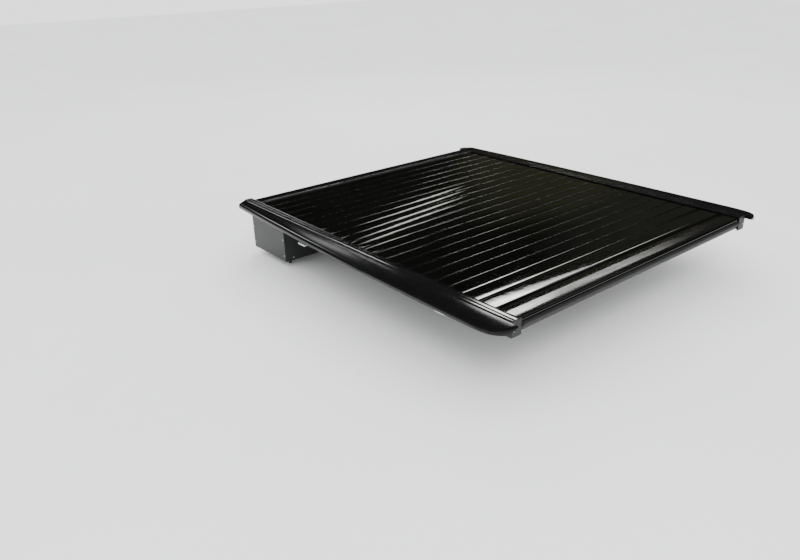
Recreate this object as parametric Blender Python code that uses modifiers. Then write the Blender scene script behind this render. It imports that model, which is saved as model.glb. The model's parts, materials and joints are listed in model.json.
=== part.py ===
"""Roll-up cover for a short pickup bed: rails, roll canister, ribbed sheet, latched end bar, clamps."""

import math

import bmesh
import bpy
from mathutils import Matrix, Vector

# +X is right, +Y is towards the cab, +Z is up. The crowns of the sheet's ribs lie at z = 0
# and the end bar's rear edge lies at y = 0. All lengths are in metres.
LENGTH = 1.745
OPENING_HALF = 0.720
SHEET_HALF = 0.7345
RIB_PITCH = 0.0744
RIB_COUNT = 20
END_BAR_DEPTH = 0.0855
SLAT_START = 0.0860
SLAT_END = 0.1880
SHEET_START = 0.1883
SHEET_UNDER = -0.0085
GROOVE_DROP = 0.0032
TURN_RADIUS = 0.060
TURN_START = 1.660
TAIL_BOTTOM = -0.150
SEAT_OUT = 0.785
SEAT_UNDER = -0.0135
TRIM_IN = 0.7604
TRIM_BOTTOM = -0.0200
CANISTER_REAR = 1.445
CANISTER_FRONT = 1.741
CANISTER_BOTTOM = -0.235
PLATE_IN = 0.7410
PLATE_OUT = 0.7450
ROLLER_Y = 1.470
ROLLER_Z = -0.0253
ROLLER_R = 0.016
ROD_Y = 0.046
ROD_Z = -0.028
ROD_R = 0.005
HANDLE_Y = 0.0660
HANDLE_Z = -0.0470
LOCK_X = 0.088
CLAMP_Y = (0.300, 1.200)
BOLT_X = 0.775
SIDES = (("left", -1.0), ("right", 1.0))

BLACK_ALU = ((0.020, 0.020, 0.021), 0.38, 0.6)
BARE_ALU = ((0.62, 0.63, 0.64), 0.35, 1.0)
STEEL = ((0.50, 0.50, 0.49), 0.32, 1.0)
GLOSS = ((0.010, 0.010, 0.011), 0.08, 0.0)
PLASTIC = ((0.028, 0.028, 0.029), 0.55, 0.0)
RUBBER = ((0.016, 0.016, 0.016), 0.85, 0.0)

# local x and y of a flat outline go to these world axes
PLAN = Matrix.Identity(4)
ACROSS = Matrix(((1, 0, 0, 0), (0, 0, -1, 0), (0, 1, 0, 0), (0, 0, 0, 1)))
SIDEWAYS = Matrix(((0, 0, 1, 0), (1, 0, 0, 0), (0, 1, 0, 0), (0, 0, 0, 1)))


def clear_scene():
    for obj in list(bpy.data.objects):
        bpy.data.objects.remove(obj, do_unlink=True)


def new_collection(name):
    collection = bpy.data.collections.new(name)
    bpy.context.scene.collection.children.link(collection)
    return collection


clear_scene()
COVER = new_collection("tonneau_cover")
CUTTERS = new_collection("cutters")


def principled(name, look):
    colour, roughness, metallic = look
    material = bpy.data.materials.new(name)
    material.use_nodes = True
    shader = material.node_tree.nodes["Principled BSDF"]
    shader.inputs["Base Color"].default_value = (*colour, 1.0)
    shader.inputs["Roughness"].default_value = roughness
    shader.inputs["Metallic"].default_value = metallic
    return material


def finish(name, mesh, look, origin):
    """Make a named object of a mesh that is in world coordinates."""
    shift = Vector(origin)
    mesh.transform(Matrix.Translation(-shift))
    mesh.name = name
    obj = bpy.data.objects.new(name, mesh)
    obj.location = shift
    if look is None:
        CUTTERS.objects.link(obj)
        obj.hide_render = True
        obj.display_type = "WIRE"
        return obj
    COVER.objects.link(obj)
    mesh.materials.clear()
    mesh.materials.append(principled(name, look))
    return obj


def extruded(name, outline, plane, low, high, look, origin=(0, 0, 0)):
    """A flat outline pushed along the plane's normal from low to high."""
    curve = bpy.data.curves.new(name, "CURVE")
    curve.dimensions = "2D"
    curve.fill_mode = "BOTH"
    curve.extrude = (high - low) / 2
    spline = curve.splines.new("POLY")
    spline.points.add(len(outline) - 1)
    for point, (u, v) in zip(spline.points, outline):
        point.co = (u, v, 0.0, 1.0)
    spline.use_cyclic_u = True
    holder = bpy.data.objects.new(name + "_curve", curve)
    CUTTERS.objects.link(holder)
    bpy.context.view_layer.update()
    graph = bpy.context.evaluated_depsgraph_get()
    mesh = bpy.data.meshes.new_from_object(holder.evaluated_get(graph))
    bpy.data.objects.remove(holder, do_unlink=True)
    middle = (low + high) / 2
    if plane is ACROSS:
        middle = -middle
    mesh.transform(plane @ Matrix.Translation((0, 0, middle)))
    weld(mesh)
    return finish(name, mesh, look, origin)


def weld(mesh):
    solid = bmesh.new()
    solid.from_mesh(mesh)
    bmesh.ops.remove_doubles(solid, verts=solid.verts, dist=1e-6)
    bmesh.ops.recalc_face_normals(solid, faces=solid.faces)
    solid.to_mesh(mesh)
    solid.free()


def block(name, x, y, z, look, origin=(0, 0, 0)):
    outline = [(x[0], y[0]), (x[1], y[0]), (x[1], y[1]), (x[0], y[1])]
    return extruded(name, outline, PLAN, z[0], z[1], look, origin)


def rod(name, start, end, radius, look, segments=20, origin=(0, 0, 0)):
    """A round bar between two points that lie along one axis."""
    start = Vector(start)
    span = Vector(end) - start
    solid = bmesh.new()
    bmesh.ops.create_cone(
        solid,
        cap_ends=True,
        segments=segments,
        radius1=radius,
        radius2=radius,
        depth=span.length,
    )
    turn = span.to_track_quat("Z", "Y").to_matrix().to_4x4()
    bmesh.ops.transform(
        solid, matrix=Matrix.Translation(start + span / 2) @ turn, verts=solid.verts
    )
    mesh = bpy.data.meshes.new(name)
    solid.to_mesh(mesh)
    solid.free()
    return finish(name, mesh, look, origin)


def boolean(obj, other, operation):
    step = obj.modifiers.new(operation.lower() + "_" + other.name, "BOOLEAN")
    step.operation = operation
    step.object = other
    step.solver = "EXACT"


def cut(obj, other):
    boolean(obj, other, "DIFFERENCE")


def join(obj, other):
    boolean(obj, other, "UNION")


def soften(obj, width, segments=2):
    step = obj.modifiers.new("soften", "BEVEL")
    step.width = width
    step.segments = segments
    step.limit_method = "ANGLE"
    step.angle_limit = math.radians(40)


def mirrored(outline, sign):
    return [(sign * u, v) for u, v in outline]


def span(sign, near, far):
    return tuple(sorted((sign * near, sign * far)))


def arc(centre, radius, start, end, count):
    """Points along an arc, angles in degrees from the first axis towards the second."""
    points = []
    for k in range(count + 1):
        turn = math.radians(start + (end - start) * k / count)
        points.append((centre[0] + radius * math.cos(turn), centre[1] + radius * math.sin(turn)))
    return points


def ribbon(path, half):
    """The outline of a strip of even thickness along a path."""
    left = []
    right = []
    for k, point in enumerate(path):
        before = Vector(path[max(k - 1, 0)])
        after = Vector(path[min(k + 1, len(path) - 1)])
        along = (after - before).normalized()
        side = Vector((-along.y, along.x)) * half
        left.append(tuple(Vector(point) + side))
        right.append(tuple(Vector(point) - side))
    return left + right[::-1]


# ---- side rails, their end pieces and the wide side trims ----

RAIL_SECTION = [
    (0.7202, 0.0014), (0.7196, 0.0036), (0.7206, 0.0060), (0.7226, 0.0070), (0.7247, 0.0062),
    (0.7256, 0.0046), (0.7388, 0.0046), (0.7396, 0.0062), (0.7416, 0.0070), (0.7437, 0.0062),
    (0.7446, 0.0046), (0.7575, 0.0046), (0.7594, 0.0039), (0.7600, 0.0022), (0.7600, -0.0095),
    (SEAT_OUT, -0.0095), (SEAT_OUT, SEAT_UNDER), (0.7600, SEAT_UNDER), (0.7600, -0.0550),
    (0.7250, -0.0550), (0.7250, -0.0510), (0.7560, -0.0510), (0.7560, 0.0008),
    (0.7400, 0.0008), (0.7400, SEAT_UNDER), (0.7120, SEAT_UNDER), (0.7120, -0.0100),
    (0.7370, -0.0100), (0.7370, 0.0014),
]


def build_rail(side, sign):
    name = side + "_rail"
    rail = extruded(name, mirrored(RAIL_SECTION, sign), ACROSS, 0.0, LENGTH, BLACK_ALU)
    web_notch = block(
        side + "_web_notch", span(sign, 0.70, 0.80), (1.4380, 1.80), (-0.060, -0.0138), None
    )
    curl_notch = block(
        side + "_curl_notch", span(sign, 0.70, 0.7369), (1.648, 1.80), (-0.020, -0.0040), None
    )
    cut(rail, web_notch)
    cut(rail, curl_notch)
    cap = block(
        side + "_rail_rear_cap",
        span(sign, 0.7110, 0.7600),
        (-0.0060, -0.0004),
        (-0.0560, 0.0052),
        PLASTIC,
    )
    soften(cap, 0.0012, 1)
    corner = block(
        side + "_front_corner",
        span(sign, 0.7205, 0.7600),
        (LENGTH + 0.0004, 1.7740),
        (-0.0125, 0.0068),
        PLASTIC,
    )
    soften(corner, 0.0025, 2)


TRIM_PLAN = [
    (TRIM_IN, -0.0360), (0.7760, -0.0360), (0.8000, -0.0280), (0.8220, -0.0100), (0.8380, 0.0160),
    (0.8460, 0.0450), (0.8500, 0.0900), (0.8510, 0.3000), (0.8480, 0.7000), (0.8380, 1.1000),
    (0.8240, 1.4500), (0.8080, 1.7450), (TRIM_IN, 1.7760),
]
TRIM_HOLLOW = [
    (0.7300, 0.0100), (0.7900, 0.0100), (0.8200, 0.0300), (0.8380, 0.1000), (0.8400, 0.3000),
    (0.8370, 0.7000), (0.8270, 1.1000), (0.8130, 1.4500), (0.8000, 1.7200), (0.7300, 1.7200),
]
TRIM_SECTION = [
    (0.7500, -0.0300), (0.7500, 0.0030), (0.7640, 0.0044), (0.7800, 0.0044), (0.8000, 0.0034),
    (0.8200, 0.0014), (0.8340, -0.0010), (0.8440, -0.0050), (0.8500, -0.0110), (0.8560, -0.0300),
]


def build_trim(side, sign):
    """The wide smooth strip outboard of a rail, following the bed's side, hollow underneath."""
    trim = extruded(
        side + "_side_trim", mirrored(TRIM_PLAN, sign), PLAN, TRIM_BOTTOM, 0.0200, PLASTIC
    )
    top = extruded(
        side + "_trim_top", mirrored(TRIM_SECTION, sign), ACROSS, -0.1000, 1.9000, None
    )
    boolean(trim, top, "INTERSECT")
    cut(trim, extruded(side + "_trim_hollow", mirrored(TRIM_HOLLOW, sign), PLAN, -0.04, -0.0080, None))
    step = block(
        side + "_trim_step", span(sign, 0.7500, 0.7880), (-0.1000, 1.9000), (-0.0400, -0.0090), None
    )
    cut(trim, step)


def build_striker(side, sign):
    striker = block(
        side + "_striker",
        span(sign, 0.7436, 0.7556),
        (ROD_Y - 0.020, ROD_Y + 0.020),
        (-0.0490, -0.0160),
        STEEL,
    )
    hole = rod(
        side + "_striker_hole",
        (sign * 0.730, ROD_Y, ROD_Z),
        (sign * 0.770, ROD_Y, ROD_Z),
        ROD_R + 0.0012,
        None,
    )
    cut(striker, hole)


# ---- clamps that pinch the bed's side flange ----

def build_clamp(side, sign, number, y):
    """A bracket hooked on the rail, a screw that turns in it and a jaw that the screw raises."""
    x = sign * BOLT_X
    base = side + "_clamp_" + str(number)
    section = [
        (0.7200, -0.0635), (0.7980, -0.0635), (0.7980, -0.0554), (0.7246, -0.0554),
        (0.7246, -0.0506), (0.7290, -0.0506), (0.7290, -0.0466), (0.7200, -0.0466),
    ]
    bracket = extruded(
        base + "_bracket", mirrored(section, sign), ACROSS, y - 0.026, y + 0.026, BARE_ALU
    )
    cut(
        bracket,
        rod(base + "_bracket_hole", (x, y, -0.070), (x, y, -0.050), 0.0045, None, 16),
    )
    jaw_origin = (x, y, -0.036)
    jaw = block(
        base + "_jaw",
        span(sign, 0.7630, 0.7930),
        (y - 0.018, y + 0.018),
        (-0.0450, -0.0340),
        STEEL,
        jaw_origin,
    )
    cut(jaw, rod(base + "_jaw_hole", (x, y, -0.050), (x, y, -0.030), 0.0045, None, 16))
    bolt = rod(
        base + "_screw", (x, y, -0.0690), (x, y, -0.0160), 0.0040, STEEL, 16, (x, y, -0.065)
    )
    head = rod(base + "_screw_head", (x, y, -0.0710), (x, y, -0.0640), 0.0072, None, 6)
    join(bolt, head)


# ---- roll canister at the cab end ----

def spiral_path():
    """The wall that the sheet's edge follows as it rolls up, from the mouth inwards."""
    path = [(1.560, -0.0170), (1.650, -0.0170)]
    path += arc((1.650, -0.0720), 0.055, 90, 0, 8)[1:]
    path += arc((1.660, -0.1750), 0.045, 0, -90, 6)
    path += arc((1.540, -0.1650), 0.055, -90, -180, 6)
    path += arc((1.530, -0.0950), 0.045, 180, 90, 6)
    path += arc((1.635, -0.0850), 0.035, 90, 0, 6)
    path += arc((1.640, -0.1550), 0.030, 0, -90, 6)
    path += arc((1.560, -0.1500), 0.035, -90, -150, 4)
    return path


def build_canister():
    inside = (-PLATE_IN + 0.0005, PLATE_IN - 0.0005)
    for side, sign in SIDES:
        block(
            side + "_canister_end",
            span(sign, PLATE_IN, PLATE_OUT),
            (CANISTER_REAR, CANISTER_FRONT),
            (CANISTER_BOTTOM, -0.0030),
            BLACK_ALU,
        )
        low, high = span(sign, 0.7160, PLATE_IN - 0.0005)
        extruded(
            side + "_spiral_track", ribbon(spiral_path(), 0.0015), SIDEWAYS, low, high, PLASTIC
        )
        build_drain(side, sign)
    block(
        "canister_front_panel",
        (-0.7364, 0.7364),
        (CANISTER_FRONT - 0.004, CANISTER_FRONT),
        (CANISTER_BOTTOM + 0.0045, 0.0000),
        BLACK_ALU,
    )
    block(
        "canister_rear_panel",
        inside,
        (CANISTER_REAR, CANISTER_REAR + 0.004),
        (CANISTER_BOTTOM + 0.0045, -0.0145),
        BLACK_ALU,
    )
    floor = block(
        "canister_floor",
        inside,
        (CANISTER_REAR, CANISTER_FRONT),
        (CANISTER_BOTTOM, CANISTER_BOTTOM + 0.004),
        BLACK_ALU,
    )
    for side, sign in SIDES:
        hole = (sign * 0.690, 1.500)
        cut(
            floor,
            rod(side + "_drain_hole", (*hole, -0.25), (*hole, -0.22), 0.0085, None),
        )
    section = [
        (1.6778, 0.0010), (1.7416, 0.0010), (1.7416, -0.0120), (1.7450, -0.0120),
        (1.7450, 0.0030), (1.7434, 0.0048), (1.7400, 0.0054), (1.6810, 0.0054),
        (1.6786, 0.0046), (1.6778, 0.0030),
    ]
    extruded(
        "canister_header", section, SIDEWAYS, -OPENING_HALF + 0.001, OPENING_HALF - 0.001, BLACK_ALU
    )
    section = [
        (1.6700, 0.0008), (1.6774, 0.0008), (1.6774, 0.0042), (1.6762, 0.0050), (1.6728, 0.0042),
    ]
    extruded(
        "header_wiper", section, SIDEWAYS, -OPENING_HALF + 0.001, OPENING_HALF - 0.001, RUBBER
    )
    block("mouth_wiper", (-0.7110, 0.7110), (1.4404, 1.4446), (-0.0400, -0.0096), RUBBER)
    block("bulkhead_seal", (-0.7190, 0.7190), (1.7454, 1.7560), (-0.0120, -0.0010), RUBBER)
    axis = (0, ROLLER_Y, ROLLER_Z)
    roller = rod(
        "mouth_roller",
        (-0.7080, ROLLER_Y, ROLLER_Z),
        (0.7080, ROLLER_Y, ROLLER_Z),
        ROLLER_R,
        PLASTIC,
        28,
        axis,
    )
    bore = rod(
        "roller_bore", (-0.75, ROLLER_Y, ROLLER_Z), (0.75, ROLLER_Y, ROLLER_Z), 0.0066, None
    )
    cut(roller, bore)
    rod(
        "mouth_roller_shaft",
        (-PLATE_IN + 0.0005, ROLLER_Y, ROLLER_Z),
        (PLATE_IN - 0.0005, ROLLER_Y, ROLLER_Z),
        0.0060,
        STEEL,
    )


def build_drain(side, sign):
    """A flanged spout under the floor for a drain hose."""
    x = sign * 0.690
    top = CANISTER_BOTTOM - 0.0004
    spout = rod(side + "_drain_spout", (x, 1.500, top - 0.034), (x, 1.500, top), 0.0080, PLASTIC)
    join(spout, rod(side + "_drain_flange", (x, 1.500, top - 0.004), (x, 1.500, top), 0.0160, None))
    cut(spout, rod(side + "_drain_bore", (x, 1.500, top - 0.05), (x, 1.500, top + 0.01), 0.0058, None))


# ---- the ribbed sheet and the two stiff slats behind it ----

def sheet_outline():
    """Side view of the sheet: crowned ribs and narrow grooves, then a turn down to its tail."""
    top = []
    for k in range(RIB_COUNT):
        y = SHEET_START + k * RIB_PITCH
        if y + RIB_PITCH > TURN_START + 0.03:
            break
        for share, drop in (
            (0.000, GROOVE_DROP), (0.050, 0.0011), (0.160, 0.0004), (0.500, 0.0),
            (0.840, 0.0004), (0.950, 0.0011),
        ):
            top.append((y + share * RIB_PITCH, -drop))
    top = [p for p in top if p[0] < TURN_START]
    centre = (TURN_START, SHEET_UNDER / 2 - TURN_RADIUS)
    half = -SHEET_UNDER / 2
    outer = arc(centre, TURN_RADIUS + half, 90, 0, 8)
    inner = arc(centre, TURN_RADIUS - half, 0, 90, 8)
    outer.append((outer[-1][0], TAIL_BOTTOM))
    inner.insert(0, (inner[0][0], TAIL_BOTTOM))
    return top + outer + inner + [(SHEET_START, SHEET_UNDER)]


def build_cover():
    extruded("cover_sheet", sheet_outline(), SIDEWAYS, -SHEET_HALF, SHEET_HALF, GLOSS)
    section = [
        (SLAT_START, SHEET_UNDER), (SLAT_END, SHEET_UNDER), (SLAT_END, -0.0030),
        (SLAT_END - 0.0030, -0.0008), (SLAT_END - 0.0080, 0.0), (SLAT_START + 0.0070, 0.0),
        (SLAT_START + 0.0025, -0.0008), (SLAT_START, -0.0030),
    ]
    extruded("end_slat", section, SIDEWAYS, -SHEET_HALF, SHEET_HALF, GLOSS)
    section = arc((0.0080, -0.0080), 0.0080, 180, 90, 5)
    section += [
        (0.0815, 0.0), (0.0845, -0.0010), (END_BAR_DEPTH, -0.0032), (END_BAR_DEPTH, -0.0220),
        (0.0815, -0.0220), (0.0815, SHEET_UNDER), (0.0070, SHEET_UNDER), (0.0070, -0.0450),
        (0.0000, -0.0450),
    ]
    bar = extruded("end_bar", section, SIDEWAYS, -OPENING_HALF, OPENING_HALF, GLOSS)
    for side, sign in SIDES:
        notch = block(
            side + "_bar_notch", span(sign, 0.7100, 0.7300), (-0.01, 0.10), (-0.06, -0.0088), None
        )
        cut(bar, notch)
        shoe = block(
            side + "_guide_shoe",
            span(sign, OPENING_HALF + 0.0004, 0.7362),
            (0.0080, 0.0800),
            (-0.0094, 0.0006),
            PLASTIC,
        )
        soften(shoe, 0.0012, 1)
    section = [(-0.0004, -0.0400), (-0.0004, -0.0120)] + arc((-0.0060, -0.0190), 0.0065, 70, 250, 6)
    extruded("tailgate_seal", section, SIDEWAYS, -0.7080, 0.7080, RUBBER)


# ---- latch under the end bar ----

def build_latch():
    housing = block(
        "latch_housing", (-0.112, 0.112), (0.0120, 0.0780), (-0.0500, -0.0089), PLASTIC
    )
    pocket = block(
        "latch_pocket", (-0.062, 0.062), (0.0165, 0.0735), (-0.0600, -0.0125), None
    )
    cut(housing, pocket)
    for side, sign in SIDES:
        hole = rod(
            side + "_rod_guide",
            (sign * 0.055, ROD_Y, ROD_Z),
            (sign * 0.120, ROD_Y, ROD_Z),
            ROD_R + 0.0008,
            None,
        )
        cut(housing, hole)
        rod(
            side + "_latch_rod",
            (sign * 0.0500, ROD_Y, ROD_Z),
            (sign * 0.7510, ROD_Y, ROD_Z),
            ROD_R,
            STEEL,
            16,
            (sign * 0.7510, ROD_Y, ROD_Z),
        )
    rotor = rod(
        "latch_rotor", (0, ROD_Y, -0.0400), (0, ROD_Y, -0.0370), 0.0200, STEEL, 28, (0, ROD_Y, -0.0385)
    )
    join(rotor, rod("rotor_boss", (0, ROD_Y, -0.0385), (0, ROD_Y, -0.0130), 0.0060, None))
    build_handle()
    build_lock()


def build_handle():
    axis = (0, HANDLE_Y, HANDLE_Z)
    handle = block(
        "handle", (-0.0560, 0.0560), (0.0190, HANDLE_Y), (-0.0490, -0.0450), PLASTIC, axis
    )
    barrel = rod(
        "handle_barrel",
        (-0.0555, HANDLE_Y, HANDLE_Z),
        (0.0555, HANDLE_Y, HANDLE_Z),
        0.0046,
        None,
        16,
    )
    join(handle, barrel)
    grip = block("handle_grip", (-0.0480, 0.0480), (0.0190, 0.0230), (-0.0560, -0.0460), None)
    join(handle, grip)
    bore = rod(
        "handle_bore",
        (-0.0700, HANDLE_Y, HANDLE_Z),
        (0.0700, HANDLE_Y, HANDLE_Z),
        0.0027,
        None,
        16,
    )
    cut(handle, bore)
    rod(
        "handle_pin",
        (-0.0615, HANDLE_Y, HANDLE_Z),
        (0.0615, HANDLE_Y, HANDLE_Z),
        0.0022,
        STEEL,
        16,
    )


def build_lock():
    top = -0.0504
    body = rod("lock_body", (LOCK_X, ROD_Y, -0.0570), (LOCK_X, ROD_Y, top), 0.0130, STEEL, 28)
    seat = rod("lock_seat", (LOCK_X, ROD_Y, -0.0600), (LOCK_X, ROD_Y, -0.0520), 0.0090, None, 24)
    cut(body, seat)
    plug = rod(
        "lock_plug",
        (LOCK_X, ROD_Y, -0.0580),
        (LOCK_X, ROD_Y, -0.0524),
        0.0085,
        STEEL,
        24,
        (LOCK_X, ROD_Y, -0.0550),
    )
    slot = block(
        "key_slot",
        (LOCK_X - 0.0045, LOCK_X + 0.0045),
        (ROD_Y - 0.0009, ROD_Y + 0.0009),
        (-0.0600, -0.0550),
        None,
    )
    cut(plug, slot)


for side_name, side_sign in SIDES:
    build_rail(side_name, side_sign)
    build_trim(side_name, side_sign)
    build_striker(side_name, side_sign)
    for index, along in enumerate(CLAMP_Y):
        build_clamp(side_name, side_sign, index + 1, along)
build_canister()
build_cover()
build_latch()
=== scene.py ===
"""Looks for the roll-up bed cover: finer visible pieces and procedural materials around the frame."""

import json
import math
import random

import bmesh
import bpy
from mathutils import Matrix, Vector


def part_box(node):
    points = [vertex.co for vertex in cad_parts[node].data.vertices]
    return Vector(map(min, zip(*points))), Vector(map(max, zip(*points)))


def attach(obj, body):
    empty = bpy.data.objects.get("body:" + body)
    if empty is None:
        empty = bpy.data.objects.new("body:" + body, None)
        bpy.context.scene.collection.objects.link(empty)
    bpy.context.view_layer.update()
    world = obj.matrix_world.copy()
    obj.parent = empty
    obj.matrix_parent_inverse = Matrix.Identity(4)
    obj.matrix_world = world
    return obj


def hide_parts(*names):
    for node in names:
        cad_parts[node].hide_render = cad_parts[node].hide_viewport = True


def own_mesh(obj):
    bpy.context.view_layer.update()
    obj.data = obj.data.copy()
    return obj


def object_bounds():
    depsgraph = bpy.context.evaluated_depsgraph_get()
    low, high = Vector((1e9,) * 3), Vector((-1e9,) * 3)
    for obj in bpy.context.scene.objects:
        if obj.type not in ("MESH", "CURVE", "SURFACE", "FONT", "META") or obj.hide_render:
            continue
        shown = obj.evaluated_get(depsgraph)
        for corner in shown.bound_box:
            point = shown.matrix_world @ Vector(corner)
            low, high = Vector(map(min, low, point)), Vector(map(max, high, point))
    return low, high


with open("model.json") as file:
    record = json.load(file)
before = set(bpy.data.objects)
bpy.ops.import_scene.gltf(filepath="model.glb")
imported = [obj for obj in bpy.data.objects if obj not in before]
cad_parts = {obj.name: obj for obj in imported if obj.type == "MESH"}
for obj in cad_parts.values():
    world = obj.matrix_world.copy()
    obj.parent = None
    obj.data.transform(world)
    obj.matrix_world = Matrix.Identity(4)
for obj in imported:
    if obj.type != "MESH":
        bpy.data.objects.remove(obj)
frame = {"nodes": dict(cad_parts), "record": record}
cad_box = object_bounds()
NODES = frame["nodes"]
SCENE = bpy.context.scene
SIDES = (("left", -1.0), ("right", 1.0))

# sizes shared with the solids, in metres
SHEET_LOW, SHEET_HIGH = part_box("cover_sheet")
SLAT_LOW, SLAT_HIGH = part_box("end_slat")
RAIL_LOW, RAIL_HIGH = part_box("right_rail")
BAR_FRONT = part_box("end_bar")[1].y
TRIM_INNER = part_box("right_side_trim")[0].x
RIB_PITCH = 0.0744
GROOVE_DROP = -0.0032
UNDER = -0.0085
TURN_RADIUS = 0.060
TURN_START = 1.660
SPLIT_RIB = 18
LAST_RIB = 23
BAR_HALF = 0.7100
TONGUE_HALF = 0.7200
RAIL_BED_END = 1.4380
RAIL_TURN_START = 1.6480
HEADER_HALF = 0.7190


# ---- camera: from behind, left and above ----

CAMERA_PLACE = (-2.3212, -1.3701, 1.0811)
CAMERA_AIM = (0.6800, 0.4215, -0.0272)
LENS = 32.2443
SENSOR_WIDTH = 36.0


def make_camera():
    """The aim is azimuth from +Y, downward tilt and roll in radians; lens and sensor are in mm."""
    azimuth, elevation, roll = CAMERA_AIM
    forward = Vector((
        math.sin(azimuth) * math.cos(elevation),
        math.cos(azimuth) * math.cos(elevation),
        -math.sin(elevation),
    ))
    level = Vector((math.cos(azimuth), -math.sin(azimuth), 0.0))
    up = level.cross(forward)
    right = level * math.cos(roll) + up * math.sin(roll)
    above = up * math.cos(roll) - level * math.sin(roll)
    data = bpy.data.cameras.new("camera")
    data.sensor_width = SENSOR_WIDTH
    data.lens = LENS
    data.clip_start = 0.05
    camera = bpy.data.objects.new("camera", data)
    SCENE.collection.objects.link(camera)
    turn = Matrix((right, above, -forward)).transposed().to_4x4()
    camera.matrix_world = Matrix.Translation(CAMERA_PLACE) @ turn
    SCENE.camera = camera


make_camera()


# ---- materials ----

class Nodes:
    """A small builder for one material's node tree."""

    def __init__(self, name):
        self.material = bpy.data.materials.new(name)
        self.material.use_nodes = True
        self.tree = self.material.node_tree
        self.shader = self.tree.nodes["Principled BSDF"]
        self.place = self.tree.nodes.new("ShaderNodeTexCoord").outputs["Object"]

    def link(self, a, b):
        self.tree.links.new(a, b)

    def scaled(self, factors):
        node = self.tree.nodes.new("ShaderNodeMapping")
        node.inputs["Scale"].default_value = factors
        self.link(self.place, node.inputs["Vector"])
        return node.outputs["Vector"]

    def noise(self, scale, detail=3.0, rough=0.55, stretch=(1, 1, 1)):
        node = self.tree.nodes.new("ShaderNodeTexNoise")
        node.inputs["Scale"].default_value = scale
        node.inputs["Detail"].default_value = detail
        node.inputs["Roughness"].default_value = rough
        self.link(self.scaled(stretch), node.inputs["Vector"])
        return node.outputs["Fac"]

    def cells(self, scale):
        node = self.tree.nodes.new("ShaderNodeTexVoronoi")
        node.inputs["Scale"].default_value = scale
        self.link(self.place, node.inputs["Vector"])
        return node.outputs["Distance"]

    def spread(self, value, low, high, to_low, to_high):
        node = self.tree.nodes.new("ShaderNodeMapRange")
        node.inputs["From Min"].default_value = low
        node.inputs["From Max"].default_value = high
        node.inputs["To Min"].default_value = to_low
        node.inputs["To Max"].default_value = to_high
        self.link(value, node.inputs["Value"])
        return node.outputs["Result"]

    def ramp(self, value, stops):
        node = self.tree.nodes.new("ShaderNodeValToRGB")
        ramp = node.color_ramp
        while len(ramp.elements) < len(stops):
            ramp.elements.new(0.5)
        for element, (place, colour) in zip(ramp.elements, stops):
            element.position = place
            element.color = (*colour, 1.0)
        self.link(value, node.inputs["Fac"])
        return node.outputs["Color"]

    def bump(self, *layers):
        """Layers of (height, distance in metres, strength), finest last."""
        normal = None
        for height, distance, strength in layers:
            node = self.tree.nodes.new("ShaderNodeBump")
            node.inputs["Distance"].default_value = distance
            node.inputs["Strength"].default_value = strength
            self.link(height, node.inputs["Height"])
            if normal is not None:
                self.link(normal, node.inputs["Normal"])
            normal = node.outputs["Normal"]
        self.link(normal, self.shader.inputs["Normal"])

    def put(self, **values):
        for name, value in values.items():
            socket = self.shader.inputs[name.replace("_", " ")]
            if isinstance(value, bpy.types.NodeSocket):
                self.link(value, socket)
            else:
                socket.default_value = value
        return self.material


def gloss_black(name, low_rough, high_rough):
    """A polished black with faint haze and wipe marks along the width."""
    n = Nodes(name)
    haze = n.noise(7.0, 4.0, 0.6)
    wipes = n.noise(60.0, 3.0, 0.6, (0.12, 1.0, 1.0))
    rough = n.spread(wipes, 0.35, 0.75, low_rough, high_rough)
    colour = n.ramp(haze, [(0.30, (0.0011, 0.0012, 0.0009)), (0.75, (0.0024, 0.0025, 0.0019))])
    n.bump((n.noise(22.0, 2.0, 0.5), 0.0006, 0.10))
    return n.put(Base_Color=colour, Roughness=rough, IOR=1.52)


def satin_black(name, colour, low_rough, high_rough, grain, depth, ior=1.48):
    """A grained black coat, plastic or rubber; depth is the grain's height in metres."""
    n = Nodes(name)
    patch = n.noise(9.0, 4.0, 0.6)
    fine = n.noise(grain, 2.0, 0.6)
    low = tuple(0.80 * c for c in colour)
    high = tuple(1.30 * c for c in colour)
    n.bump((n.cells(grain), depth, 0.25), (fine, depth, 0.20))
    return n.put(
        Base_Color=n.ramp(patch, [(0.30, low), (0.72, high)]),
        Roughness=n.spread(fine, 0.3, 0.7, low_rough, high_rough),
        IOR=ior,
    )


def bare_metal(name, colour, stretch, low_rough, high_rough):
    """A dull metal with fine lines, drawn out where stretch is small, and soft stains."""
    n = Nodes(name)
    lines = n.noise(900.0, 3.0, 0.6, stretch)
    stain = n.noise(35.0, 4.0, 0.6)
    low = tuple(0.72 * c for c in colour)
    high = tuple(min(1.0, 1.12 * c) for c in colour)
    n.bump((lines, 0.00005, 0.35))
    return n.put(
        Base_Color=n.ramp(stain, [(0.28, low), (0.70, high)]),
        Roughness=n.spread(lines, 0.3, 0.7, low_rough, high_rough),
        Metallic=1.0,
    )


LOOKS = {
    "sheet": gloss_black("gloss_black_sheet", 0.018, 0.045),
    "bar": gloss_black("gloss_black_bar", 0.08, 0.15),
    "trim": satin_black("semi_gloss_trim", (0.0035, 0.0035, 0.0036), 0.10, 0.13, 1500.0, 0.000005, 1.24),
    "rail": satin_black("black_powder_coat", (0.0040, 0.0040, 0.0042), 0.055, 0.085, 1100.0, 0.000004),
    "shell": satin_black("canister_coat", (0.0120, 0.0120, 0.0126), 0.34, 0.50, 900.0, 0.00007),
    "plastic": satin_black("grained_plastic", (0.0085, 0.0085, 0.0088), 0.42, 0.60, 1300.0, 0.00010),
    "rubber": satin_black("black_rubber", (0.0110, 0.0110, 0.0110), 0.62, 0.85, 1000.0, 0.00008),
    "steel": bare_metal("zinc_steel", (0.55, 0.55, 0.53), (0.05, 1.0, 1.0), 0.26, 0.42),
    "aluminium": bare_metal("cast_aluminium", (0.60, 0.61, 0.62), (1.0, 1.0, 1.0), 0.38, 0.55),
}
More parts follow.
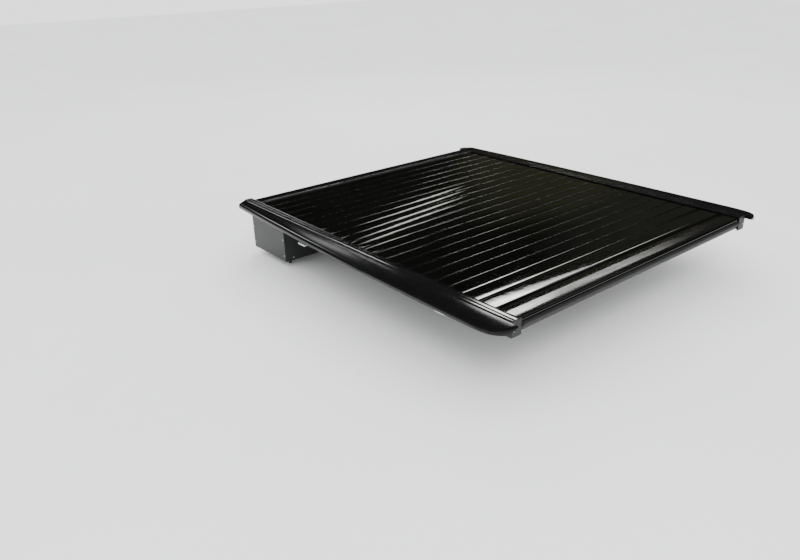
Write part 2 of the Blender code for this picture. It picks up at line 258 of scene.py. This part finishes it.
SLOT_LOOKS = {
    "gloss_black_polymer": "sheet",
    "gloss_black_coat": "bar",
    "black_powder_coat": "shell",
    "satin_black_plastic": "plastic",
    "black_rubber": "rubber",
    "zinc_steel": "steel",
    "mill_aluminium": "aluminium",
}


def dress_frame():
    """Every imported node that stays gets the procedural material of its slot."""
    slots = {s["node"]: s["material_slot"] for s in frame["record"]["subparts"]}
    for name, node in NODES.items():
        look = LOOKS[SLOT_LOOKS[slots[name]]]
        node.data.materials.clear()
        node.data.materials.append(look)


dress_frame()


# ---- mesh helpers ----

def crisp(mesh, degrees):
    """Smooth shading, with a hard edge where two faces meet at more than this angle."""
    shape = bmesh.new()
    shape.from_mesh(mesh)
    limit = math.radians(degrees)
    for face in shape.faces:
        face.smooth = True
    for edge in shape.edges:
        if len(edge.link_faces) == 2:
            edge.smooth = edge.calc_face_angle(0.0) < limit
    shape.to_mesh(mesh)
    shape.free()


def placed(name, mesh, look, body, replaced):
    """Make a piece that rides a body and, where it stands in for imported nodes, replaces them."""
    mesh.materials.append(LOOKS[look])
    obj = bpy.data.objects.new(name, mesh)
    SCENE.collection.objects.link(obj)
    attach(obj, body)
    if replaced:
        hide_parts(*replaced)
    return obj


def bevelled(obj, width, segments):
    """Round a piece's sharp edges."""
    step = obj.modifiers.new("edges", "BEVEL")
    step.width = width
    step.segments = segments
    step.limit_method = "ANGLE"
    step.angle_limit = math.radians(38)
    step.harden_normals = True


def grid_mesh(name, rows, closed_rows, caps, smooth_angle):
    """A mesh from rows of points; a closed row joins its last point to its first."""
    shape = bmesh.new()
    made = [[shape.verts.new(p) for p in row] for row in rows]
    count = len(rows[0])
    last = count if closed_rows else count - 1
    for a, b in zip(made, made[1:]):
        for k in range(last):
            j = (k + 1) % count
            shape.faces.new((a[k], a[j], b[j], b[k]))
    if caps:
        shape.faces.new(made[0])
        shape.faces.new(made[-1][::-1])
    bmesh.ops.recalc_face_normals(shape, faces=shape.faces)
    mesh = bpy.data.meshes.new(name)
    shape.to_mesh(mesh)
    shape.free()
    crisp(mesh, smooth_angle)
    return mesh


def along_x(section, stations):
    """Copies of a (y, z) section at each x."""
    return [[(x, y, z) for y, z in section] for x in stations]


def along_y(section, stations):
    """Copies of an (x, z) section at each y."""
    return [[(x, y, z) for x, z in section] for y in stations]


def steps(low, high, count):
    return [low + (high - low) * k / count for k in range(count + 1)]


def arc(centre, radius, start, end, count):
    """Points of an arc between two angles in degrees."""
    points = []
    for k in range(count + 1):
        turn = math.radians(start + (end - start) * k / count)
        points.append((centre[0] + radius * math.cos(turn), centre[1] + radius * math.sin(turn)))
    return points


# ---- the ribbed sheet ----

# half a rib: share of its pitch, and drop below its crown in metres; the other half mirrors it
RIB_HALF = (
    (0.000, -0.0031), (0.010, -0.0030), (0.018, -0.0022), (0.026, -0.00125), (0.036, -0.00060),
    (0.050, -0.00025), (0.075, -0.00019), (0.120, -0.00014), (0.200, -0.000080), (0.300, -0.000035),
    (0.400, -0.000009),
)
RIB_SHAPE = (*RIB_HALF, (0.5, 0.0), *((1.0 - share, drop) for share, drop in RIB_HALF[:0:-1]))
SHEET_COLUMNS = 40
UNDERSIDE_STEPS = 3
SHEET_CREASE = 40
SHEET_TAIL = 0.080
WAVE = random.Random(11)
LEAN = 0.00012
LEAN_WAVE = 0.00009
SWAY = 0.00007
RIB_WAVES = [
    (WAVE.uniform(-1, 1), WAVE.uniform(-1, 1), WAVE.uniform(0, 6.28), WAVE.uniform(0, 6.28))
    for _ in range(LAST_RIB + 1)
]


def rib_height(rib, share, drop, x):
    """The small unevenness of a moulded sheet: each rib tilts and bows a little differently."""
    tilt, bow, phase, second = RIB_WAVES[rib]
    lean = LEAN * tilt + LEAN_WAVE * math.sin(2.3 * x + phase)
    sway = SWAY * bow * math.cos(3.9 * x + second)
    return drop + lean * (share - 0.5) * 2 + sway * math.sin(math.pi * share)


def turned(y, z):
    """Carry a point of the flat sheet round the turn into the canister, keeping its depth."""
    if y <= TURN_START:
        return (y, z)
    centre = (TURN_START, UNDER / 2 - TURN_RADIUS)
    bend = (y - TURN_START) / TURN_RADIUS
    radius = TURN_RADIUS + z - UNDER / 2
    if bend > math.pi / 2:
        past = (bend - math.pi / 2) * TURN_RADIUS
        return (centre[0] + radius, centre[1] - past)
    return (centre[0] + radius * math.sin(bend), centre[1] + radius * math.cos(bend))


def sheet_rows(first, last, stop=math.inf):
    """Closed sections of the sheet from one rib to another, cut off at the length called stop."""
    start = SHEET_LOW.y
    rows = []
    for x in steps(SHEET_LOW.x, SHEET_HIGH.x, SHEET_COLUMNS):
        top = []
        for rib in range(first, last):
            for share, drop in RIB_SHAPE:
                y = start + (rib + share) * RIB_PITCH
                if y < stop:
                    top.append(turned(y, rib_height(rib, share, drop, x)))
        end = min(start + last * RIB_PITCH, stop)
        top.append(turned(end, GROOVE_DROP))
        low = []
        for y in steps(start + first * RIB_PITCH, end, (last - first) * UNDERSIDE_STEPS)[::-1]:
            low.append(turned(y, UNDER))
        rows.append([(x, y, z) for y, z in top + low])
    return rows


def build_sheet():
    """The ribs over the bed and the fixed turn beyond them, both riding the frame."""
    mesh = grid_mesh("sheet_over_bed", sheet_rows(0, SPLIT_RIB), True, True, SHEET_CREASE)
    flat = placed("sheet_over_bed", mesh, "sheet", "frame", ["cover_sheet"])
    rolled_end = TURN_START + math.pi / 2 * TURN_RADIUS + SHEET_TAIL
    rows = sheet_rows(SPLIT_RIB, LAST_RIB, rolled_end)
    mesh = grid_mesh("sheet_into_canister", rows, True, True, SHEET_CREASE)
    placed("sheet_into_canister", mesh, "sheet", "frame", [])
    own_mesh(flat)


# ---- the stiff slat and the end bar ----

SLAT_REAR_RADIUS = 0.0052
SLAT_FRONT_RADIUS = 0.0050
SLAT_CROWN = 0.0001
BAR_REAR_RADIUS = 0.0085
BAR_FRONT_RADIUS = 0.0045
BAR_REAR_WALL = 0.0070
BAR_REAR_DEPTH = 0.0450
BAR_FRONT_WALL = 0.0040
BAR_FRONT_DEPTH = 0.0220
BAR_EDGE_RADIUS = 0.0005
HARD_CREASE = 35


def build_slat():
    """The wide flat slat, closed underneath, with a rounded edge at each end."""
    low, high = SLAT_LOW.y, SLAT_HIGH.y
    top = arc((low + SLAT_REAR_RADIUS, -SLAT_REAR_RADIUS), SLAT_REAR_RADIUS, 180, 100, 6)
    top += [(low + 0.030, SLAT_CROWN), (low + 0.060, SLAT_CROWN), (high - 0.020, 0.0)]
    top += arc((high - SLAT_FRONT_RADIUS, -SLAT_FRONT_RADIUS), SLAT_FRONT_RADIUS, 82, 0, 6)
    section = [(low, UNDER)] + top + [(high, UNDER)]
    rows = along_x(section, steps(SLAT_LOW.x, SLAT_HIGH.x, 12))
    mesh = grid_mesh("end_slat_shell", rows, True, True, HARD_CREASE)
    placed("end_slat_shell", mesh, "sheet", "cover", ["end_slat"])


def build_bar():
    """The end bar: a rolled rear edge, a shallow crown and an open underside for the latch."""
    high = BAR_FRONT
    rear_edge = arc((BAR_REAR_RADIUS, -BAR_REAR_RADIUS), BAR_REAR_RADIUS, 180, 96, 9)
    front_edge = arc((high - BAR_FRONT_RADIUS, -BAR_FRONT_RADIUS), BAR_FRONT_RADIUS, 84, 0, 5)
    section = rear_edge + [(0.030, 0.0), (0.060, 0.0)] + front_edge
    section += [(high, -BAR_FRONT_DEPTH), (high - BAR_FRONT_WALL, -BAR_FRONT_DEPTH)]
    section += [(high - BAR_FRONT_WALL, UNDER), (BAR_REAR_WALL, UNDER)]
    section += [(BAR_REAR_WALL, -BAR_REAR_DEPTH), (0.0, -BAR_REAR_DEPTH)]
    rows = along_x(section, steps(-BAR_HALF, BAR_HALF, 8))
    mesh = grid_mesh("end_bar_shell", rows, True, True, HARD_CREASE)
    bevelled(placed("end_bar_shell", mesh, "bar", "cover", ["end_bar"]), BAR_EDGE_RADIUS, 2)
    tongue = rear_edge + [(0.060, 0.0)] + front_edge
    for side, sign in SIDES:
        name = side + "_bar_tongue"
        rows = along_x(tongue, sorted((sign * BAR_HALF, sign * TONGUE_HALF)))
        placed(name, grid_mesh(name, rows, True, True, HARD_CREASE), "bar", "cover", [])


# ---- rails and header ----

RAIL_FLAT = 0.0046
RIDGE_X = 0.7416
RIDGE_WIDTH = 0.0056
RIDGE_RISE = 0.0024
RAIL_CREASE = 32
HEADER_REAR = 1.6778
HEADER_FRONT = 1.7450
HEADER_TOP = 0.0054
HEADER_UNDER = 0.0010
HEADER_LIP_BACK = 1.7416
HEADER_LIP_LOW = -0.0120
HEADER_FRONT_RADIUS = 0.0038
HEADER_REAR_RADIUS = 0.0028


def bead(x, base, width, rise, count):
    """A round bead on the rail's top, from its inner foot to its outer one."""
    points = []
    for k in range(count + 1):
        turn = math.pi * (1 - k / count)
        points.append((x + width / 2 * math.cos(turn), base + rise * math.sin(turn)))
    return points


def rail_top():
    """The rail's upper outline: an inner lip, a round ridge and a rounded outer edge."""
    top = [(0.7202, 0.0014), (0.7197, 0.0024), (0.7196, 0.0036), (0.7199, 0.0048)]
    top += [(0.7206, 0.0060), (0.7215, 0.0067), (0.7226, 0.0070), (0.7237, 0.0068)]
    top += [(0.7247, 0.0061), (0.7253, 0.0052), (0.7258, RAIL_FLAT)]
    top += bead(RIDGE_X, RAIL_FLAT, RIDGE_WIDTH, RIDGE_RISE, 8)
    top += [(0.7545, RAIL_FLAT), (0.7570, 0.0045), (0.7588, 0.0040), (0.7597, 0.0031), (0.7600, 0.0020)]
    return top


def build_rail(side, sign):
    """Three lengths of the rail: over the bed, beside the canister, and beside the sheet's turn."""
    low, high = RAIL_LOW.y, RAIL_HIGH.y
    seat = [(0.7600, -0.0095), (0.7850, -0.0095), (0.7850, -0.0135), (0.7600, -0.0135)]
    web = [(0.7600, -0.0550), (0.7250, -0.0550), (0.7250, -0.0510), (0.7560, -0.0510)]
    inner = [(0.7560, 0.0008), (0.7400, 0.0008)]
    flange = [(0.7400, -0.0135), (0.7120, -0.0135), (0.7120, -0.0100), (0.7370, -0.0100)]
    stub = [(0.7400, -0.0135), (0.7370, -0.0135)]
    back = [(0.7370, 0.0014)]
    no_web = rail_top() + seat + [(0.7560, -0.0135)] + inner
    lengths = (
        ("bed", low, RAIL_BED_END, rail_top() + seat + web + inner + flange + back),
        ("canister", RAIL_BED_END, RAIL_TURN_START, no_web + flange + back),
        ("front", RAIL_TURN_START, high, no_web + stub + back),
    )
    for label, start, end, section in lengths:
        name = side + "_rail_" + label
        points = [(sign * x, z) for x, z in section]
        mesh = grid_mesh(name, along_y(points, (start, end)), True, True, RAIL_CREASE)
        placed(name, mesh, "rail", "frame", [side + "_rail"] if label == "bed" else [])


def build_header():
    """The fixed strip over the canister, with rounded edges and a lip down to the bulkhead."""
    section = [(HEADER_REAR, HEADER_UNDER), (HEADER_LIP_BACK, HEADER_UNDER)]
    section += [(HEADER_LIP_BACK, HEADER_LIP_LOW), (HEADER_FRONT, HEADER_LIP_LOW)]
    section += [(HEADER_FRONT, 0.0018)]
    centre = (HEADER_FRONT - HEADER_FRONT_RADIUS, HEADER_TOP - HEADER_FRONT_RADIUS)
    section += arc(centre, HEADER_FRONT_RADIUS, 0, 84, 7)
    section += [(1.7200, HEADER_TOP), (1.7000, HEADER_TOP)]
    centre = (HEADER_REAR + HEADER_REAR_RADIUS, HEADER_TOP - HEADER_REAR_RADIUS)
    section += arc(centre, HEADER_REAR_RADIUS, 90, 180, 6)
    rows = along_x(section, steps(-HEADER_HALF, HEADER_HALF, 6))
    mesh = grid_mesh("header_shell", rows, True, True, HARD_CREASE)
    placed("header_shell", mesh, "bar", "frame", ["canister_header"])


# ---- wide side trims ----

def roll_off(distance, radius):
    """How far a rounded edge has dropped at this distance in from it."""
    if distance >= radius:
        return 0.0
    inset = radius - max(distance, 0.0)
    return radius - math.sqrt(max(radius * radius - inset * inset, 0.0))


# the strip's outer edge in plan, as (y, x)
TRIM_EDGE = (
    (-0.0360, 0.7760), (-0.0350, 0.7810), (-0.0320, 0.7910), (-0.0270, 0.8020), (-0.0200, 0.8130),
    (-0.0100, 0.8225), (0.0010, 0.8310), (0.0140, 0.8375), (0.0300, 0.8430), (0.0500, 0.8468),
    (0.0900, 0.8500), (0.3000, 0.8510), (0.7000, 0.8480), (1.1000, 0.8380), (1.4500, 0.8240),
    (1.7450, 0.8080), (1.7530, 0.7960), (1.7640, 0.7790), (1.7760, 0.7610),
)
# where its rows of points lie: shares of its width, and lengths near its pointed front
TRIM_SHARES = (
    0.0, 0.004, 0.012, 0.026, 0.045, 0.09, 0.18, 0.28, 0.38, 0.48, 0.58, 0.67, 0.74, 0.80,
    0.85, 0.89, 0.925, 0.95, 0.97, 0.985, 0.995, 1.0,
)
TRIM_FRONT_ROWS = (
    1.722, 1.736, 1.745, 1.7475, 1.7500, 1.7530, 1.7565, 1.7600, 1.7640, 1.7680, 1.7720, 1.7745,
    1.7758,
)
TRIM_CROWN = 0.0043
TRIM_FALL = 0.0058
TRIM_FALL_START = 0.770
TRIM_FALL_WIDTH = 0.081
TRIM_FALL_POWER = 1.9
TRIM_LOWEST_TOP = -0.0085
TRIM_WALL = 0.0025
TRIM_INNER_ROUND = 0.0022
TRIM_OUTER_ROUND = 0.0100
TRIM_REAR_ROUND = 0.0060
TRIM_CREASE = 60
SKIRT_CREASE = 50
SKIRT_STEP = 0.7880
SKIRT_INNER = -0.0090
SKIRT_OUTER = -0.0200


def trim_edge(y):
    """How far out the strip reaches at this length, along the bed's slightly bowed side."""
    for (y0, x0), (y1, x1) in zip(TRIM_EDGE, TRIM_EDGE[1:]):
        if y <= y1:
            return x0 + (x1 - x0) * max(0.0, (y - y0) / (y1 - y0))
    return TRIM_EDGE[-1][1]


def trim_height(x):
    """The strip is level beside the rail and falls away more and more towards its outer edge."""
    out = max(0.0, (x - TRIM_FALL_START) / TRIM_FALL_WIDTH)
    return TRIM_CROWN - TRIM_FALL * out ** TRIM_FALL_POWER


def build_trim(side, sign):
    """One wide strip: a rounded top surface, a skirt round its border and a thin wall."""
    ys = [y for y, _ in TRIM_EDGE[:11]] + steps(0.12, 1.70, 22) + list(TRIM_FRONT_ROWS)
    rows = []
    for share in TRIM_SHARES:
        row = []
        for y in ys:
            outer = trim_edge(y)
            x = TRIM_INNER + share * (outer - TRIM_INNER)
            z = trim_height(x) - roll_off(x - TRIM_INNER, TRIM_INNER_ROUND)
            z = z - roll_off(outer - x, TRIM_OUTER_ROUND) - roll_off(y - ys[0], TRIM_REAR_ROUND)
            row.append((sign * x, y, max(z, TRIM_LOWEST_TOP)))
        rows.append(row)
    mesh = grid_mesh(side + "_trim_shell", rows, False, False, TRIM_CREASE)
    add_skirt(mesh, sign)
    obj = placed(side + "_trim_shell", mesh, "trim", "frame", [side + "_side_trim"])
    wall = obj.modifiers.new("wall", "SOLIDIFY")
    wall.thickness = TRIM_WALL
    wall.offset = -1.0


def add_skirt(mesh, sign):
    """Drop the strip's open border straight down, further on its outer side."""
    shape = bmesh.new()
    shape.from_mesh(mesh)
    border = [e for e in shape.edges if len(e.link_faces) == 1]
    made = bmesh.ops.extrude_edge_only(shape, edges=border)["geom"]
    for part in made:
        if isinstance(part, bmesh.types.BMVert):
            part.co.z = SKIRT_INNER if sign * part.co.x < SKIRT_STEP else SKIRT_OUTER
    bmesh.ops.recalc_face_normals(shape, faces=shape.faces)
    upward = sum(f.normal.z * f.calc_area() for f in shape.faces)
    if upward < 0:
        bmesh.ops.reverse_faces(shape, faces=shape.faces)
    shape.to_mesh(mesh)
    shape.free()
    crisp(mesh, SKIRT_CREASE)


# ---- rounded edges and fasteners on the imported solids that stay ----

SOFTENED = (
    # names, look, edge radius in metres
    (("canister_front_panel", "canister_rear_panel", "canister_floor"), "shell", 0.0012),
    (("left_canister_end", "right_canister_end"), "shell", 0.0012),
    (("left_rail_rear_cap", "right_rail_rear_cap"), "plastic", 0.0016),
    (("left_front_corner", "right_front_corner"), "plastic", 0.0022),
    (("latch_housing", "left_guide_shoe", "right_guide_shoe"), "plastic", 0.0009),
    (("handle",), "plastic", 0.0014),
    (("tailgate_seal",), "rubber", 0.0016),
    (("lock_body", "left_striker", "right_striker"), "steel", 0.0007),
    (("left_clamp_1_bracket", "left_clamp_2_bracket"), "aluminium", 0.0012),
    (("right_clamp_1_bracket", "right_clamp_2_bracket"), "aluminium", 0.0012),
    (("left_clamp_1_jaw", "left_clamp_2_jaw"), "steel", 0.0010),
    (("right_clamp_1_jaw", "right_clamp_2_jaw"), "steel", 0.0010),
)


SAME_PLACE = 1e-6
SAME_PLANE = math.radians(0.5)
SOFT_CREASE = 32


def soften_node(name, look, radius):
    """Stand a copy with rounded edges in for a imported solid, on the same body."""
    bodies = frame["record"]["behaviour"]["bodies"]
    body = next(b for b, members in bodies.items() if name in members)
    shape = bmesh.new()
    shape.from_mesh(NODES[name].data)
    bmesh.ops.remove_doubles(shape, verts=shape.verts, dist=SAME_PLACE)
    bmesh.ops.dissolve_limit(
        shape, angle_limit=SAME_PLANE, verts=shape.verts, edges=shape.edges
    )
    mesh = bpy.data.meshes.new(name + "_shell")
    shape.to_mesh(mesh)
    shape.free()
    crisp(mesh, SOFT_CREASE)
    bevelled(placed(name + "_shell", mesh, look, body, [name]), radius, 3)


# radius and height round a screw's button head, in metres
HEAD = (
    (0.0045, 0.0), (0.0045, 0.0006), (0.0040, 0.0012), (0.0030, 0.0017), (0.0020, 0.0019),
    (0.0016, 0.0019), (0.0015, 0.0009),
)
HEAD_SIDES = 18
SCREW_ROW = (-0.70, -0.42, -0.14, 0.14, 0.42, 0.70)
SCREW_ROW_HEIGHT = -0.2215
END_SCREW_HEIGHTS = (-0.205, -0.125, -0.045)
END_SCREW_YS = (1.4545, 1.7315)
CAP_SCREW = (0.7490, -0.0300)
HEAD_CREASE = 50


def screw_heads(name, spots):
    """Button heads with a round recess; each spot is a place and the way its head faces."""
    shape = bmesh.new()
    angles = [math.tau * k / HEAD_SIDES for k in range(HEAD_SIDES)]
    for place, facing in spots:
        turn = Vector(facing).to_track_quat("Z", "Y").to_matrix().to_4x4()
        put = Matrix.Translation(place) @ turn
        rings = []
        for radius, height in HEAD:
            points = [(radius * math.cos(a), radius * math.sin(a), height) for a in angles]
            rings.append([shape.verts.new(put @ Vector(p)) for p in points])
        for low, high in zip(rings, rings[1:]):
            for k in range(HEAD_SIDES):
                j = (k + 1) % HEAD_SIDES
                shape.faces.new((low[k], low[j], high[j], high[k]))
        shape.faces.new(rings[-1])
        shape.faces.new(rings[0][::-1])
    bmesh.ops.recalc_face_normals(shape, faces=shape.faces)
    mesh = bpy.data.meshes.new(name)
    shape.to_mesh(mesh)
    shape.free()
    crisp(mesh, HEAD_CREASE)
    placed(name, mesh, "steel", "frame", [])


def build_fasteners():
    """Screws along the canister's panels and ends, and one in each rear cap."""
    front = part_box("canister_front_panel")[1].y
    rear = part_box("canister_rear_panel")[0].y
    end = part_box("right_canister_end")[1].x
    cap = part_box("right_rail_rear_cap")[0].y
    spots = []
    for x in SCREW_ROW:
        spots.append(((x, front, SCREW_ROW_HEIGHT), (0, 1, 0)))
        spots.append(((x, rear, SCREW_ROW_HEIGHT), (0, -1, 0)))
    for _, sign in SIDES:
        for z in END_SCREW_HEIGHTS:
            for y in END_SCREW_YS:
                spots.append(((sign * end, y, z), (sign, 0, 0)))
    screw_heads("canister_screw_heads", spots)
    caps = [((sign * CAP_SCREW[0], cap, CAP_SCREW[1]), (0, -1, 0)) for _, sign in SIDES]
    screw_heads("rear_cap_screw_heads", caps)


build_sheet()
build_slat()
build_bar()
build_header()
for side_name, side_sign in SIDES:
    build_rail(side_name, side_sign)
    build_trim(side_name, side_sign)
for node_names, node_look, edge_radius in SOFTENED:
    for node_name in node_names:
        soften_node(node_name, node_look, edge_radius)
build_fasteners()


# ---- floor, world and lights ----

def direction_glow(tree, direction, centre, half_size, lean, softness, colour, strength, total):
    """Add a soft oval glow to what glossy surfaces see, centred on one direction of the studio."""
    az, el, roll = (math.radians(angle) for angle in (*centre, lean))
    towards = Vector((math.sin(az) * math.cos(el), math.cos(az) * math.cos(el), math.sin(el)))
    level = Vector((math.cos(az), -math.sin(az), 0.0))
    upward = level.cross(towards)
    along = level * math.cos(roll) + upward * math.sin(roll)
    across = upward * math.cos(roll) - level * math.sin(roll)
    parts = []
    for axis, size in zip((along, across), half_size):
        dot = tree.nodes.new("ShaderNodeVectorMath")
        dot.operation = "DOT_PRODUCT"
        dot.inputs[1].default_value = axis / math.sin(math.radians(size))
        tree.links.new(direction, dot.inputs[0])
        square = tree.nodes.new("ShaderNodeMath")
        square.operation = "MULTIPLY"
        tree.links.new(dot.outputs["Value"], square.inputs[0])
        tree.links.new(dot.outputs["Value"], square.inputs[1])
        parts.append(square.outputs["Value"])
    add = tree.nodes.new("ShaderNodeMath")
    tree.links.new(parts[0], add.inputs[0])
    tree.links.new(parts[1], add.inputs[1])
    fade = tree.nodes.new("ShaderNodeMapRange")
    fade.interpolation_type = "SMOOTHSTEP"
    fade.inputs["From Min"].default_value = 1.0 - softness
    fade.inputs["From Max"].default_value = 1.0 + softness
    fade.inputs["To Min"].default_value = strength
    fade.inputs["To Max"].default_value = 0.0
    tree.links.new(add.outputs["Value"], fade.inputs["Value"])
    ahead = tree.nodes.new("ShaderNodeVectorMath")
    ahead.operation = "DOT_PRODUCT"
    ahead.inputs[1].default_value = towards
    tree.links.new(direction, ahead.inputs[0])
    facing = tree.nodes.new("ShaderNodeMath")
    facing.operation = "GREATER_THAN"
    facing.inputs[1].default_value = 0.0
    tree.links.new(ahead.outputs["Value"], facing.inputs[0])
    amount = tree.nodes.new("ShaderNodeMath")
    amount.operation = "MULTIPLY"
    tree.links.new(fade.outputs["Result"], amount.inputs[0])
    tree.links.new(facing.outputs["Value"], amount.inputs[1])
    tint = tree.nodes.new("ShaderNodeVectorMath")
    tint.operation = "SCALE"
    tint.inputs[0].default_value = colour
    tree.links.new(amount.outputs["Value"], tint.inputs["Scale"])
    joined = tree.nodes.new("ShaderNodeVectorMath")
    joined.operation = "ADD"
    tree.links.new(total, joined.inputs[0])
    tree.links.new(tint.outputs["Vector"], joined.inputs[1])
    return joined.outputs["Vector"]


GLOWS = (
    # azimuth and elevation, half width and height, lean (all degrees), softness, colour, strength
    ((48.6, 26.5), (3.3, 1.15), -14.0, 0.70, (1.0, 1.0, 0.98), 17.0),
    ((54.0, 23.9), (7.5, 0.60), -18.0, 0.80, (1.0, 1.0, 0.97), 7.0),
    ((51.5, 27.0), (6.5, 2.4), -12.0, 0.90, (0.97, 1.0, 0.97), 0.6),
    ((52.0, 13.6), (8.3, 4.6), -24.0, 0.60, (1.0, 1.0, 0.50), 0.062),
    ((40.0, 19.2), (4.2, 0.22), -27.0, 0.60, (1.0, 1.0, 0.95), 4.5),
    ((30.6, 24.6), (2.4, 1.5), 0.0, 0.80, (1.0, 1.0, 1.0), 3.5),
    ((8.0, 33.0), (9.0, 3.5), 0.0, 0.60, (1.0, 1.0, 1.0), 12.0),
    ((35.0, 22.9), (2.8, 0.22), 23.0, 0.50, (1.0, 1.0, 1.0), 12.0),
    ((62.0, 20.5), (9.0, 5.0), 0.0, 0.80, (0.97, 1.0, 0.82), 0.050),
    ((86.0, 47.0), (13.0, 10.0), 0.0, 0.60, (1.0, 1.0, 0.95), 0.8),
    ((215.0, 20.0), (30.0, 9.0), 0.0, 0.60, (1.0, 1.0, 1.0), 1.10),
    ((300.0, 18.0), (25.0, 8.0), 0.0, 0.60, (1.0, 1.0, 1.0), 0.90),
    ((0.0, 84.0), (35.0, 7.0), 0.0, 0.60, (1.0, 1.0, 1.0), 0.40),
)
AMBIENT = 0.013
BACKDROP = (0.93, 0.94, 0.95, 1.0)
BACKDROP_STRENGTH = 2.1
BED_MIDDLE = (0.0, 0.8, 0.0)
FLOOR_SIZE = 40.0
FLOOR_GAP = 0.002


def make_world():
    """A pale studio for the camera and matt surfaces; gloss sees a dark room with soft glows."""
    world = bpy.data.worlds.new("studio")
    world.use_nodes = True
    tree = world.node_tree
    tree.nodes.clear()
    direction = tree.nodes.new("ShaderNodeTexCoord").outputs["Generated"]
    start = tree.nodes.new("ShaderNodeCombineXYZ")
    for socket in start.inputs:
        socket.default_value = AMBIENT
    total = start.outputs["Vector"]
    for glow in GLOWS:
        total = direction_glow(tree, direction, *glow, total)
    seen = tree.nodes.new("ShaderNodeBackground")
    seen.inputs["Color"].default_value = BACKDROP
    seen.inputs["Strength"].default_value = BACKDROP_STRENGTH
    mirrored = tree.nodes.new("ShaderNodeBackground")
    tree.links.new(total, mirrored.inputs["Color"])
    path = tree.nodes.new("ShaderNodeLightPath")
    mix = tree.nodes.new("ShaderNodeMixShader")
    tree.links.new(path.outputs["Is Glossy Ray"], mix.inputs["Fac"])
    tree.links.new(seen.outputs["Background"], mix.inputs[1])
    tree.links.new(mirrored.outputs["Background"], mix.inputs[2])
    output = tree.nodes.new("ShaderNodeOutputWorld")
    tree.links.new(mix.outputs["Shader"], output.inputs["Surface"])
    SCENE.world = world


def make_floor():
    """A plain pale floor just below the part."""
    place = (BED_MIDDLE[0], BED_MIDDLE[1], cad_box[0].z - FLOOR_GAP)
    bpy.ops.mesh.primitive_plane_add(size=FLOOR_SIZE, location=place)
    floor = bpy.context.object
    floor.name = "studio_floor"
    n = Nodes("pale_floor")
    tone = n.ramp(n.noise(0.9, 4.0, 0.5), [(0.3, (0.90, 0.90, 0.90)), (0.7, (0.94, 0.94, 0.94))])
    floor.data.materials.append(n.put(Base_Color=tone, Roughness=0.75))


def make_light(name, place, target, size, power):
    """A soft rectangular light, aimed at a target and unseen by gloss."""
    data = bpy.data.lights.new(name, "AREA")
    data.shape = "RECTANGLE"
    data.size, data.size_y = size
    data.energy = power
    light = bpy.data.objects.new(name, data)
    SCENE.collection.objects.link(light)
    light.location = place
    aim = Vector(target) - Vector(place)
    light.rotation_euler = aim.to_track_quat("-Z", "Y").to_euler()
    light.visible_glossy = False


make_world()
make_floor()
make_light("key_light", (-3.5, -3.0, 4.5), BED_MIDDLE, (2.4, 2.4), 160.0)
make_light("rim_light", (2.8, 4.5, 3.2), BED_MIDDLE, (2.0, 1.2), 60.0)
